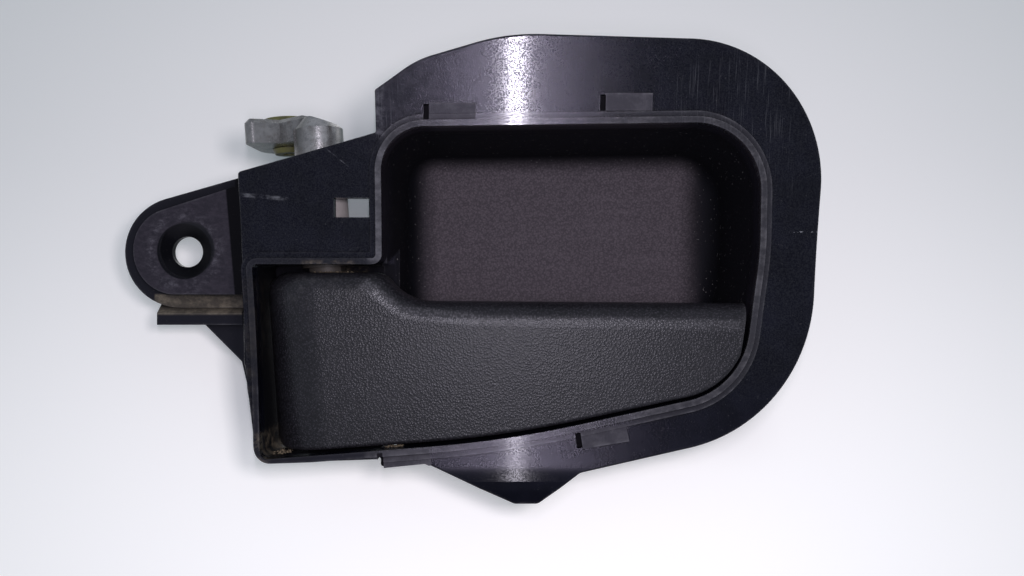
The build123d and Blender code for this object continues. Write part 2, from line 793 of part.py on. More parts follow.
# Return spring: one leg on the housing's web, the other against a catch in the lever's heel
spring_height = spring_turns * spring_pitch
spring_bottom = spring_bay_middle - spring_height / 2
coil_plane = Plane(
    origin=shaft_plane.from_local_coords(Vector(0, 0, spring_bottom)),
    x_dir=(0, 1, 0),
    z_dir=shaft_plane.z_dir,
)
web_leg_start = coil_plane.from_local_coords(Vector(spring_radius, 0, 0))
catch_leg_start = coil_plane.from_local_coords(Vector(0, spring_radius, spring_height))
with BuildLine() as coil:
    Helix(pitch=spring_pitch, height=spring_height, radius=spring_radius)
coil_path = coil.wire().moved(coil_plane.location)
with BuildPart() as return_spring:
    with BuildSketch(Plane(origin=web_leg_start, z_dir=coil_path % 0)):
        Circle(spring_wire_radius)
    sweep(path=coil_path, is_frenet=True)
    with BuildSketch(Plane(origin=web_leg_start, z_dir=shaft_plane.x_dir)):
        Circle(spring_wire_radius)
    extrude(amount=spring_leg)
    with BuildSketch(Plane(origin=catch_leg_start, z_dir=-shaft_plane.x_dir)):
        Circle(spring_wire_radius)
    extrude(amount=spring_catch_leg)
    with Locations(web_leg_start, catch_leg_start):
        Sphere(spring_wire_radius)
return_spring.part.label = "return_spring"
export_step(return_spring.part, "parts/return_spring.step")
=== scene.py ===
import bpy
import json
import math
import random
from functools import reduce
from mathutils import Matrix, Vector
from types import SimpleNamespace


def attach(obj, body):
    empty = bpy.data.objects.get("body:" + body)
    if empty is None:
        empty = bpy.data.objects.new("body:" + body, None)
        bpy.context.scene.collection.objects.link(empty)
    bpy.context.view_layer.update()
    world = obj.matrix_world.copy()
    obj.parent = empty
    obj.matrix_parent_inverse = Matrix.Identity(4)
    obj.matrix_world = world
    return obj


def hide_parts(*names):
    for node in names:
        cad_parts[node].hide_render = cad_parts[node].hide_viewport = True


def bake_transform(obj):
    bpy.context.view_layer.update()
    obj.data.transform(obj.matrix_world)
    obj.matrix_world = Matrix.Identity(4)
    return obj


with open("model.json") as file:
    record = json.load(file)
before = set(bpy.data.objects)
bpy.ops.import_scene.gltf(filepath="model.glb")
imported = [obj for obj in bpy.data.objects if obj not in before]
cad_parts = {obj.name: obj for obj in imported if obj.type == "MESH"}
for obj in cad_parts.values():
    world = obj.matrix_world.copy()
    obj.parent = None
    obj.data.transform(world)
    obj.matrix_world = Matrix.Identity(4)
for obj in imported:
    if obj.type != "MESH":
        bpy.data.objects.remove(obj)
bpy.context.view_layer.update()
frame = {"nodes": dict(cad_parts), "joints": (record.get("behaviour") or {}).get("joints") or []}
nodes = frame["nodes"]
scene = bpy.context.scene
scene.view_settings.view_transform = "Standard"

# Millimetres in a metre: places and sizes below are in millimetres, unless they say otherwise
mm = 1000

# Rolled front and fixing ear of the housing
shell_front_y = -17.1
curve_radius = 180.0
curve_middle_z = -5.0
ear_right = (16.4, 17.2)
ear_front_y = (-9.0, -8.0)
countersink_depth = 2.6
countersink_radius = 6.1
past_the_ear = 60.0
seat_fall = math.tan(math.radians(8.0))
# Painted shadow of the cover plate on the ear seat: its lean and its left edge
seat_gap_lean = 0.067
seat_gap_left = (10.75, 11.15)
scraped_ring = (6.4, 9.0)

# Trim clip pads: left end, height and tilt in degrees of each, and the slits to their left
clip_seats = ((55.5, 27.1, 0), (90.6, 28.9, 0), (85.8, -38.2, 9), (46.6, -42.0, 4))
pad_length = 9.3
pad_height = 3.4
slit_width = 1.1
slit_height = 3.1

# Where a mask starts and where it is full: behind the rolled front, and along Y
front_ends = (0.4, 0.8)
lip_ends = (-1.5, -1.1)
step_ends = (-0.75, -0.55)
scoop_starts = (2.5, 6.0)
bay_starts = (1.2, 3.0)
floor_starts_y = (4.0, 8.4)
outside_starts_y = (9.0, 9.4)

# Where a mask starts and where it is full: along X and along Z
step_starts_x = (45, 47)
scoop_lip_starts_x = (42.5, 44.0)
grain_starts_x = (40, 48)
plate_starts_z = (-30, -24)
lower_flange_z = (-36, -22)
flange_tip_z = (-46.0, -43.0)

# Front and back of the locating shelf, and left and right end of the cover plate
shelf_y = (0.2, 2.6)
plate_x = (17.5, 46.0)

# Areas of the housing as seen from the front: left and right, then bottom and top
scoop_area = ((46, 123), (-43, 26))
floor_area = ((52.5, 113.0), (-43, 20.5))
bay_area = ((19, 46.5), (-43, -2.6))
shelf_area = ((-8, 18), (-13.9, -9.4))
cut_edge_area = ((43.8, 46.4), (22.0, 36.0))
left_band_area = ((43.0, 47.0), (-2.5, 24.0))
film_area = ((42, 66), (23, 44))

# Areas with fine upright scratches and with crusted dirt: area, soft border and weight
streak_areas = (
    (((104, 128), (10, 38)), 5.0, 1.0),
    (((45, 50.5), (24, 33)), 1.5, 1.0),
    (((60, 106), (26, 41)), 6.0, 0.4),
)
crust_areas = (
    (((30, 40), (-4.6, -2.6)), 0.7, 1.0),
    (((20.5, 25.0), (-42.5, -37.0)), 0.8, 1.0),
    (((17.5, 21.0), (-40.0, -6.0)), 0.5, 0.12),
)

# Single scratches: start and end as seen from the front, and width
flange_scratch = ((128.0, 3.3), (135.2, 3.4), 0.16)
plate_scratch = ((34.9, 19.8), (38.9, 16.6), 0.14)
plate_scuff = ((17.6, 10.8), (26.5, 10.0), 0.55)
scratch_taper = 0.6

# Colours of the housing's plastic, bare, worn and dirty, and of its painted shade and painted highlight
deep_black = (0.0020, 0.0022, 0.0044)
mottled_black = (0.0048, 0.0050, 0.0095)
ear_black = (0.017, 0.0165, 0.021)
film_grey = (0.034, 0.031, 0.040)
# Painted highlight on the raised lip and step, and wear on the scoop's lip
lip_highlight_and_wear_grey = (0.066, 0.062, 0.068)
band_grey = (0.13, 0.125, 0.14)
# Painted shade in the scoop and the bay
hollow_shade_black = (0.0028, 0.0028, 0.0034)
floor_grey = (0.104, 0.086, 0.099)
seat_grey = (0.040, 0.034, 0.044)
scraped_grey = (0.13, 0.12, 0.14)
# Painted shade in the countersink
sink_shade_black = (0.003, 0.003, 0.004)
shelf_brown = (0.175, 0.146, 0.112)
pad_grey = (0.052, 0.049, 0.056)
edge_grey = (0.12, 0.115, 0.125)
cut_grey = (0.10, 0.095, 0.11)
# Painted shade for the nooks, the slits and the plate's shadow on the ear seat
painted_shade_black = (0.0010, 0.0010, 0.0012)
scratch_grey = (0.20, 0.20, 0.22)
dust_grey = (0.16, 0.15, 0.15)
crust_brown = (0.13, 0.105, 0.075)

# Colours of the lever's plastic
lever_black = (0.0065, 0.0061, 0.0077)
lever_mottled = (0.0105, 0.0098, 0.0122)
pebble_grey = (0.034, 0.031, 0.038)
lever_edge_grey = (0.070, 0.066, 0.072)
# Painted highlight along the roll
painted_highlight_grey = (0.090, 0.085, 0.094)
head_grey = (0.065, 0.060, 0.064)

# Colours of the crank's zinc
zinc_bright = (0.46, 0.445, 0.435)
zinc_mottled = (0.25, 0.245, 0.245)
# Painted shade on the hub's left side and the arm, and on the edges
zinc_painted_shade = (0.11, 0.106, 0.104)
zinc_stained = (0.16, 0.14, 0.125)
# Painted light on the stem
stem_painted_light = (0.37, 0.33, 0.325)
# Painted shade in the nooks, and painted shade with grime on the stem's lower end
shade_and_grime_brown = (0.03, 0.024, 0.019)

# Lighter and darker colour of the bush, the clip, the spring and the dirt
bush_olives = ((0.110, 0.106, 0.036), (0.062, 0.060, 0.022))
clip_steels = ((0.48, 0.47, 0.46), (0.25, 0.24, 0.23))
spring_steels = ((0.40, 0.40, 0.41), (0.20, 0.19, 0.18))
dirt_browns = ((0.17, 0.135, 0.09), (0.05, 0.036, 0.025))

# Painted highlight along the lever's roll: start, end, width and weight of each run
highlight_runs = (
    ((42.2, -6.8), (49.7, -12.8), 1.7, 1.0),
    ((49.7, -12.8), (65.6, -14.4), 1.7, 1.0),
    ((65.6, -14.4), (117.4, -15.4), 1.5, 0.6),
)
highlight_ends_y = (-19.6, -18.0)
lever_head_area = ((24, 46), (-11, -5))

# Crank: where its left side is painted in shade, its stem, the painted shade and grime on the stem end, and
# the hub's left part
shaded_left_x = (27.0, 30.5)
stem_top_z = (17.0, 21.0)
shaded_end_top_z = (0.0, 4.0)
hub_left_x = (26.6, 31.0)

# Return spring, along the leaning shaft from the pivot
hinge = next(joint for joint in frame["joints"] if joint["name"] == "lever_pull")
pivot = Vector(hinge["pos_m"]) * mm
shaft_up = -Vector(hinge["axis"])
shaft_y = Vector((0, 1, 0))
shaft_x = shaft_y.cross(shaft_up)
spring_bottom = -25.29
spring_turns = 4.25
spring_pitch = 1.55
spring_top = spring_bottom + spring_turns * spring_pitch
spring_radius = 6.6
spring_wire_radius = 0.7
spring_leg = 8.6
spring_catch_leg = 2.9
spring_wire_sides = 12
spring_steps_in_turn = 24
spring_leg_steps = 6
spring_catch_steps = 3

# Scraps of moulding flash: left and right end, height of the root, and how far each hangs
flash_scraps = ((33.6, 35.6, -42.0, 0.8), (36.3, 38.3, -41.95, 0.65))
flash_root = 0.3
flash_y = -15.6
flash_thickness = 0.22
flash_steps = 7
flash_seed = 7

# Dirt crumbs: body, X, Y and Z range of the patch, crumbs on a square millimetre and their size
crumb_patches = {
    "crumbs_head": ("lever", (31.5, 39.5), (-15.9, -14.2), (-4.85, -4.85), 2.2, 0.26),
    "crumbs_corner": ("frame", (23.2, 27.0), (-17.5, -12.0), (-41.72, -41.46), 1.6, 0.30),
    "crumbs_under": ("frame", (46.6, 50.0), (-19.0, -17.2), (-40.0, -39.76), 5.0, 0.30),
}
crumb_seed = 11
crumb_size_seed = 3
crumb_turns = (6.28, 6.28, 6.28)
crumb_smallest = (0.5, 0.5, 0.4)
crumb_largest = (1.3, 1.2, 0.9)
crumb_lumps = 2600.0

# Pale table behind the handle: its tilt, a place on it and its reach each way
table_tilt = math.radians(20)
table_middle_x = 70
table_y = 12
table_z = -35
table_reach = 1400.0
# Painted shadow behind the handle, where the table has no glow, and the heights over which its painted glow
# grows brighter downwards
painted_shadow_area = ((8, 128), (-42, 34))
painted_glow_z = (-90, 40)

# World: the light it gives, and the pale backdrop that is seen and mirrored
world_light = (0.21, 0.267, 0.30, 1)
world_backdrop = (0.36, 0.39, 0.45, 1)

# The photograph's camera, in metres, and its focal length in pixels of the photograph
photo_width = 1024
focal_pixels = 881
sensor_width = 36
camera_place = (0.072, -0.1956, -0.008)

# Colour sockets of a Mix node
mix_amount, mix_from, mix_to, mix_colour = 0, 6, 7, 2


class Wire:
    """A socket of a node tree. Sums on it add Math nodes, and make() adds any other node."""

    def __init__(self, tree, socket=None):
        self.tree = tree
        self.socket = socket

    def make(self, kind, sockets=None, out=0, **settings):
        """Adds a node: its settings first, then the values or links of its sockets."""
        node = self.tree.nodes.new(kind)
        for name, value in settings.items():
            setattr(node, name, value)
        for name, value in (sockets or {}).items():
            if isinstance(value, Wire):
                self.tree.links.new(value.socket, node.inputs[name])
            else:
                node.inputs[name].default_value = value
        return Wire(self.tree, node.outputs[out])

    def maths(self, operation, *values):
        return self.make("ShaderNodeMath", dict(enumerate(values)), operation=operation)

    def __add__(self, other):
        return self.maths("ADD", self, other)

    def __radd__(self, other):
        return self.maths("ADD", other, self)

    def __sub__(self, other):
        return self.maths("SUBTRACT", self, other)

    def __rsub__(self, other):
        return self.maths("SUBTRACT", other, self)

    def __mul__(self, other):
        return self.maths("MULTIPLY", self, other)

    def __rmul__(self, other):
        return self.maths("MULTIPLY", other, self)

    def __truediv__(self, other):
        return self.maths("DIVIDE", self, other)

    def __rtruediv__(self, other):
        return self.maths("DIVIDE", other, self)

    def __abs__(self):
        return self.maths("ABSOLUTE", self)

    def root(self):
        return self.maths("SQRT", self)

    def above(self, low, high):
        """0 under low, 1 over high and a smooth step between them."""
        return self.make(
            "ShaderNodeMapRange",
            {"Value": self, "From Min": low, "From Max": high},
            interpolation_type="SMOOTHSTEP",
        )

    def within(self, low, high, soft):
        """1 between low and high, with soft borders."""
        return self.above(low - soft, low + soft) * (1 - self.above(high - soft, high + soft))

    def between(self, low, high):
        """Runs from low to high as this value goes from 0 to 1."""
        return low + self * (high - low)

    def either(self, other):
        return self.maths("MAXIMUM", self, other)

    def tint(self, amount, colour):
        """This colour, turned towards another one by an amount from 0 to 1."""
        sockets = {mix_amount: amount, mix_from: self, mix_to: (*colour, 1)}
        return self.make("ShaderNodeMix", sockets, out=mix_colour, data_type="RGBA")


class Finish:
    """A material with its places in millimetres, ready for masks, grain and colour."""

    def __init__(self, name):
        self.material = bpy.data.materials.new(name)
        self.material.use_nodes = True
        self.tree = self.material.node_tree
        self.shader = next(n for n in self.tree.nodes if n.type == "BSDF_PRINCIPLED")
        start = Wire(self.tree)
        metres = start.make("ShaderNodeTexCoord", out="Object")
        self.place = start.make("ShaderNodeMapping", {"Vector": metres, "Scale": (mm, mm, mm)})
        self.x, self.y, self.z = (
            start.make("ShaderNodeSeparateXYZ", {"Vector": self.place}, out=axis) for axis in "XYZ"
        )

    def noise(self, size, detail=2.0, rough=0.5, stretch=(1, 1, 1)):
        """Soft noise from 0 to 1 whose blots are about size millimetres wide."""
        fit = [1 / (size * s) for s in stretch]
        scaled = self.place.make("ShaderNodeMapping", {"Vector": self.place, "Scale": fit})
        sockets = {"Vector": scaled, "Scale": 1.0, "Detail": detail, "Roughness": rough}
        return self.place.make("ShaderNodeTexNoise", sockets)

    def pebbles(self, size):
        """Height from 0 to 1 of round pebbles about size millimetres apart."""
        cells = self.place.make("ShaderNodeTexVoronoi", {"Vector": self.place, "Scale": 1 / size})
        return 1 - cells.above(0.1, 0.75)

    def blend(self, amount, first, second):
        """Colour that runs from the first to the second as the amount goes from 0 to 1."""
        sockets = {mix_amount: amount, mix_from: (*first, 1), mix_to: (*second, 1)}
        return self.place.make("ShaderNodeMix", sockets, out=mix_colour, data_type="RGBA")

    def box(self, area, soft):
        """Mask of a rectangle as seen from the front."""
        x, z = area
        return self.x.within(*x, soft) * self.z.within(*z, soft)

    def patches(self, areas):
        """Mask of several rectangles, each with its soft border and its weight."""
        return reduce(Wire.either, [self.box(area, soft) * weight for area, soft, weight in areas])

    def ring(self, low, high, soft):
        """Mask of a ring round the screw hole as seen from the front."""
        return (self.x * self.x + self.z * self.z).root().within(low, high, soft)

    def hidden(self, reach, inside=False):
        """How much of the solid lies close round a place: in its nooks, or inside at its edges."""
        settings = {"samples": 5, "only_local": True, "inside": inside}
        sockets = {"Distance": reach / mm}
        return 1 - self.place.make("ShaderNodeAmbientOcclusion", sockets, out="AO", **settings)

    def scratch(self, start, end, width):
        """Mask of a straight scratch as seen from the front."""
        run = Vector(end) - Vector(start)
        along = ((self.x - start[0]) * run.x + (self.z - start[1]) * run.y) / run.length
        off = ((self.z - start[1]) * run.x - (self.x - start[0]) * run.y) / run.length
        return along.within(0, run.length, scratch_taper) * (1 - abs(off).above(0.4 * width, width))

    def bump(self, height, depth, strength, under=None):
        """Normal of a relief that is depth millimetres high, on top of another one where given."""
        sockets = {"Height": height, "Distance": depth / mm, "Strength": strength}
        if under:
            sockets["Normal"] = under
        return self.place.make("ShaderNodeBump", sockets)

    def put(self, **values):
        """Sets or links sockets of the shader, named with low lines for spaces."""
        for name, value in values.items():
            target = self.shader.inputs[name.replace("_", " ")]
            if isinstance(value, Wire):
                self.tree.links.new(value.socket, target)
            else:
                target.default_value = value

    def onto(self, *pieces):
        for piece in pieces:
            piece.data.materials.clear()
            piece.data.materials.append(self.material)


def clip_masks(black):
    """Masks of the four raised pads for the trim clips, and of the slits to their left."""
    pads, slits = [], []
    for seat_x, seat_z, tilt in clip_seats:
        cos, sin = math.cos(math.radians(tilt)), math.sin(math.radians(tilt))
        across = (black.x - seat_x) * cos + (black.z - seat_z) * sin
        up = (black.z - seat_z) * cos - (black.x - seat_x) * sin
        pad_up = up.within(-pad_height / 2, pad_height / 2, 0.15)
        slit_up = up.within(-slit_height / 2, slit_height / 2, 0.05)
        pads.append(across.within(0, pad_length, 0.15) * pad_up)
        slits.append(across.within(-slit_width, 0, 0.05) * slit_up)
    return reduce(Wire.either, pads), reduce(Wire.either, slits)


def housing_places(black):
    """Masks of the places on the moulding."""
    x, y, z = black.x, black.y, black.z
    rise = z - curve_middle_z
    behind = y - (shell_front_y - curve_radius) - (curve_radius**2 - rise * rise).root()
    at = SimpleNamespace()
    at.front = 1 - behind.above(*front_ends)
    at.lower = 1 - z.above(*lower_flange_z)
    at.tip = 1 - z.above(*flange_tip_z)
    at.lip = 1 - behind.above(*lip_ends)
    at.step = (1 - behind.above(*step_ends)) * (1 - at.lip) * x.above(*step_starts_x)
    at.scoop_lip = at.lip * x.above(*scoop_lip_starts_x)
    at.left_band = at.lip * black.box(left_band_area, 0.6)
    pads, at.slits = clip_masks(black)
    at.pads = pads * at.front
    at.scoop = behind.above(*scoop_starts) * black.box(scoop_area, 0.8)
    at.bay = behind.above(*bay_starts) * black.box(bay_area, 0.4)
    at.hollow = at.scoop.either(at.bay)
    at.floor = y.above(*floor_starts_y) * (1 - y.above(*outside_starts_y)) * black.box(floor_area, 3.5)
    at.ear_side = 1 - x.above(*ear_right)
    at.ear = at.ear_side * y.above(*ear_front_y)
    off_seat = abs(y + countersink_depth + x * seat_fall + z * (seat_fall / 2))
    at.seat = at.ear * (1 - off_seat.above(0.15, 0.4))
    # Painted shadow of the cover plate on the ear seat
    at.seat_gap = at.ear * (x + z * seat_gap_lean).above(*seat_gap_left)
    at.sink = at.ear * (1 - black.ring(countersink_radius, past_the_ear, 0.15))
    at.shelf = black.box(shelf_area, 0.3) * y.within(*shelf_y, 0.2)
    at.cut_edge = black.box(cut_edge_area, 0.5) * at.front
    at.plate = at.front * x.within(*plate_x, 0.8) * z.above(*plate_starts_z)
    at.film = at.front * black.box(film_area, 6.0)
    at.edges = black.hidden(0.55, inside=True).above(0.12, 0.5)
    # Painted shade in the ear's nooks, and in the nooks all over
    ear_nook_shade = at.ear * black.hidden(4.0).above(0.2, 0.5)
    at.nooks = black.hidden(0.9).above(0.15, 0.6).either(ear_nook_shade)
    return at


def housing_wear(black, at):
    """Grain of the moulding, and masks of the marks that use has left on it."""
    wear = SimpleNamespace()
    wear.leather = black.pebbles(0.5)
    wear.fine = black.noise(0.30, detail=2.0, rough=0.6) * black.x.above(*grain_starts_x)
    wear.sparkle = black.noise(0.27, detail=3.0, rough=0.7).above(0.42, 0.60)
    wear.mottle = black.noise(9.0, detail=4.0, rough=0.6)
    wear.scuffs = black.noise(2.2, detail=8.0, rough=0.75, stretch=(1.5, 1, 1))
    wear.rubbed = wear.scuffs.above(0.42, 0.66)
    wear.scraped = black.noise(0.9, detail=8.0, rough=0.8, stretch=(1.8, 1, 1)).above(0.40, 0.66)
    wear.swirls = black.noise(1.6, detail=5.0, rough=0.7, stretch=(9, 1, 1)).above(0.45, 0.7)
    wear.streaks = black.noise(0.24, detail=2.0, rough=0.6, stretch=(1, 900, 40)).above(0.55, 0.75)
    broken = black.noise(0.6).above(0.5, 0.6)
    wear.marks = at.front * (
        (black.scratch(*flange_scratch) * broken * 0.8)
        .either(black.scratch(*plate_scratch) * wear.rubbed * 0.5)
        .either(black.scratch(*plate_scuff) * wear.scraped * 0.5)
        .either(wear.streaks * black.patches(streak_areas) * 0.16)
    )
    specks = black.noise(0.5, detail=1.0).above(0.71, 0.78)
    wear.dust = specks * (at.scoop * (1 - at.floor) * 0.5 + 0.10)
    wear.crust = black.patches(crust_areas) * wear.rubbed
    wear.worn = at.seat.either(at.shelf).either(wear.crust)
    return wear


def housing_colour(black, at, wear):
    """Black plastic, greyer where it is worn and brown where dirt has crusted, with a painted highlight on
    its lip and painted shade in its hollows, nooks, slits and countersink and beside the cover plate.
    """
    shade = black.blend(wear.mottle.above(0.3, 0.75), deep_black, mottled_black)
    shade = shade.tint(at.ear_side * 0.6, ear_black)
    shade = shade.tint(at.film * wear.scuffs.above(0.35, 0.7).between(0.25, 0.85), film_grey)
    # Painted highlight on the raised lip and step, and wear rubbed lighter on the scoop's lip
    lip = at.lip * 0.12 + at.scoop_lip * wear.rubbed.between(0.25, 0.70) + at.step * 0.25
    shade = shade.tint(lip, lip_highlight_and_wear_grey)
    shade = shade.tint(at.left_band * wear.rubbed.between(0.2, 0.5), band_grey)
    # Painted shade in the scoop and the bay
    shade = shade.tint(at.hollow * 0.85, hollow_shade_black)
    floor_grain = 0.38 + wear.swirls * 0.08 + wear.leather * 0.34 + wear.sparkle * 0.2
    shade = shade.tint(at.floor * floor_grain, floor_grey)
    shade = shade.tint(at.seat * wear.scraped.between(0.45, 1.0), seat_grey)
    ring_scrapes = black.ring(*scraped_ring, 1.2) * wear.scraped * wear.rubbed
    shade = shade.tint(at.seat * ring_scrapes * 0.7, scraped_grey)
    # Painted shade in the countersink
    shade = shade.tint(at.sink, sink_shade_black)
    shade = shade.tint(at.shelf * wear.rubbed.between(0.4, 1.0), shelf_brown)
    shade = shade.tint(at.pads * wear.rubbed.between(0.45, 0.95), pad_grey)
    quiet = (at.hollow * 0.7).either(at.plate * 0.75)
    shade = shade.tint(at.edges * wear.rubbed.between(0.10, 0.55) * (1 - quiet), edge_grey)
    shade = shade.tint(at.cut_edge * wear.streaks.either(wear.rubbed) * 0.7, cut_grey)
    # Painted shade: the nooks, the slits and the plate's shadow on the ear seat turned nearly black
    shade = shade.tint((at.nooks * 0.8).either(at.slits).either(at.seat_gap), painted_shade_black)
    shade = shade.tint(wear.marks, scratch_grey)
    shade = shade.tint(wear.dust, dust_grey)
    return shade.tint(wear.crust * 0.75, crust_brown)


def housing_finish():
    """Glossy on the rolled front, so that it takes a bright streak, and matt in the hollows."""
    black = Finish("housing_black")
    at = housing_places(black)
    wear = housing_wear(black, at)
    rough = 0.13 + at.lower * 0.06 + at.tip * 0.7 + wear.mottle * 0.06
    rough = rough + (1 - at.front) * 0.15 + at.hollow.either(at.slits) * 0.35
    rough = rough + wear.worn * 0.36 * (1 - at.sink) + wear.marks * 0.2 + at.pads * 0.25
    grain = black.bump(wear.fine + at.floor * wear.leather * 1.4, 0.042, 0.9)
    gloss = 0.02 + wear.sparkle * (0.52 - at.lower * 0.43)
    black.put(
        Base_Color=housing_colour(black, at, wear),
        Roughness=rough,
        Specular_IOR_Level=0.14,
        Specular_Tint=(0.88, 0.83, 1.0, 1),
        Coat_Weight=at.front * (1 - wear.worn) * (1 - at.pads) * gloss,
        Coat_Roughness=0.10,
        Normal=black.bump(wear.scuffs * wear.worn.either(at.pads * 0.6), 0.08, 0.4, grain),
    )
    return black


def lever_finish():
    """Pebble grain, with a painted highlight along the roll."""
    grip = Finish("lever_pebble_black")
    mottle = grip.noise(14.0, detail=3.0, rough=0.6)
    pebble = grip.pebbles(0.44)
    fine = grip.noise(0.28, detail=3.0, rough=0.65)
    rubbed = grip.noise(2.5, detail=6.0, rough=0.7).above(0.45, 0.75)
    edges = grip.hidden(1.2, inside=True).above(0.1, 0.5)
    # Painted highlight along the roll
    runs = [grip.scratch(start, end, width) * weight for start, end, width, weight in highlight_runs]
    painted_highlight = reduce(Wire.either, runs) * (1 - grip.y.above(*highlight_ends_y))
    shade = grip.blend(mottle.above(0.3, 0.8), lever_black, lever_mottled)
    shade = shade.tint(pebble * fine.above(0.4, 0.62), pebble_grey)
    shade = shade.tint(edges * rubbed.between(0.15, 0.55), lever_edge_grey)
    # Painted highlight along the roll
    shade = shade.tint(painted_highlight * pebble.between(0.2, 0.7), painted_highlight_grey)
    shade = shade.tint(rubbed * grip.box(lever_head_area, 2.0) * 0.4, head_grey)
    grip.put(
        Base_Color=shade,
        Roughness=0.36 - pebble * 0.06 + mottle * 0.06 - painted_highlight * 0.08,
        Specular_IOR_Level=0.32,
        Normal=grip.bump(pebble + fine, 0.040, 0.8),
    )
    return grip


def zinc_finish():
    """Cast zinc: bright and mottled on the hub, painted in shade on its left, painted light down the stem,
    and painted shade with grime at the stem's lower end.
    """
    zinc = Finish("crank_zinc")
    mottle = zinc.noise(2.2, detail=6.0, rough=0.7)
    stain = zinc.noise(1.8, detail=6.0, rough=0.7).above(0.50, 0.66)
    edges = zinc.hidden(0.7, inside=True).above(0.1, 0.5)
    # Painted shade on the hub's left side and the arm
    shaded_left = (1 - zinc.x.above(*shaded_left_x)) * zinc.x.within(*hub_left_x, 0.6).between(0.4, 0.85)
    stem = 1 - zinc.z.above(*stem_top_z)
    # Painted shade with grime on the stem's lower end
    shaded_stem_end = 1 - zinc.z.above(*shaded_end_top_z)
    nooks = zinc.hidden(1.5).above(0.2, 0.7)
    shade = zinc.blend(mottle.above(0.35, 0.7), zinc_bright, zinc_mottled)
    # Painted shade on the hub's left side and the arm, and darker edges
    shade = shade.tint(shaded_left.either(edges * 0.5), zinc_painted_shade)
    shade = shade.tint(stain * 0.5, zinc_stained)
    # Painted light: the stem is turned pale
    shade = shade.tint(stem * 0.8, stem_painted_light)
    zinc.put(
        # Painted shade in the nooks, and painted shade with grime on the stem's lower end
        Base_Color=shade.tint((nooks * 0.7).either(shaded_stem_end * 0.95), shade_and_grime_brown),
        Metallic=0.85 - stem * 0.6,
        Roughness=0.16 + mottle * 0.20 + stem * 0.30,
        Normal=zinc.bump(mottle + zinc.noise(0.45, detail=2.0) * 0.5, 0.07, 0.6),
    )
    return zinc


def bush_finish():
    olive = Finish("bush_olive")
    mottle = olive.noise(2.0, detail=3.0)
    olive.put(
        Base_Color=olive.blend(mottle.above(0.4, 0.75), *bush_olives),
        Roughness=0.38 + mottle * 0.15,
        Normal=olive.bump(mottle, 0.03, 0.3),
    )
    return olive


def steel_finish(name, bright, dull):
    steel = Finish(name)
    drawn = steel.noise(0.6, detail=3.0, rough=0.6, stretch=(1, 1, 0.3))
    steel.put(
        Base_Color=steel.blend(drawn.above(0.4, 0.8), bright, dull),
        Metallic=1.0,
        Roughness=0.3 + drawn * 0.15,
        Normal=steel.bump(drawn, 0.02, 0.3),
    )
    return steel


def crumb_finish():
    dirt = Finish("dirt_crumbs")
    grain = dirt.noise(0.5, detail=4.0, rough=0.7)
    dirt.put(
        Base_Color=dirt.blend(grain.above(0.35, 0.7), *dirt_browns),
        Roughness=0.9,
        Normal=dirt.bump(grain, 0.08, 0.8),
    )
    return dirt


def mesh_piece(name, corners, faces, body=None):
    """Object of a new mesh, given in millimetres, that rides on a body where one is named."""
    mesh = bpy.data.meshes.new(name)
    mesh.from_pydata([Vector(c) / mm for c in corners], [], faces)
    mesh.validate()
    piece = bpy.data.objects.new(name, mesh)
    scene.collection.objects.link(piece)
    if body:
        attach(piece, body)
    return piece


def on_shaft(x, y, up):
    """Point given across and along the leaning shaft."""
    return pivot + shaft_x * x + shaft_y * y + shaft_up * up


def spring_path():
    """Middle line of the return spring: web leg, coil and catch leg."""
    path = []
    for i in range(spring_leg_steps):
        path.append(on_shaft(spring_leg * (1 - i / spring_leg_steps), spring_radius, spring_bottom))
    for i in range(round(spring_turns * spring_steps_in_turn) + 1):
        turns = i / spring_steps_in_turn
        turn = math.radians(90) + math.tau * turns
        up = spring_bottom + spring_pitch * turns
        path.append(on_shaft(spring_radius * math.cos(turn), spring_radius * math.sin(turn), up))
    for i in range(spring_catch_steps):
        reach = spring_catch_leg * (i + 1) / spring_catch_steps
        path.append(on_shaft(-spring_radius - reach, 0, spring_top))
    return path


def round_tube(path, radius, sides):
    """Corners and faces of a round wire along a path, with closed ends."""
    corners, faces = [], []
    for i, point in enumerate(path):
        run = (path[min(i + 1, len(path) - 1)] - path[max(i - 1, 0)]).normalized()
        out = run.cross(shaft_up).normalized()
        over = out.cross(run)
        for k in range(sides):
            turn = math.tau * k / sides
            corners.append(point + radius * (out * math.cos(turn) + over * math.sin(turn)))
    for i in range(len(path) - 1):
        for k in range(sides):
            a, b = i * sides + k, i * sides + (k + 1) % sides
            faces.append((a, b, b + sides, a + sides))
    faces.append(tuple(range(sides - 1, -1, -1)))
    faces.append(tuple(range(len(corners) - sides, len(corners))))
    return corners, faces


def return_spring():
    """Spring wire in place of the rigid one."""
    corners, faces = round_tube(spring_path(), spring_wire_radius, spring_wire_sides)
    piece = mesh_piece("return_spring_wire", corners, faces)
    for face in piece.data.polygons:
        face.use_smooth = True
    steel_finish("spring_wire", *spring_steels).onto(piece)
    ends = [on_shaft(0, 0, up) / mm for up in (spring_bottom, spring_top)]
    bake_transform(piece)
    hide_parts("return_spring")


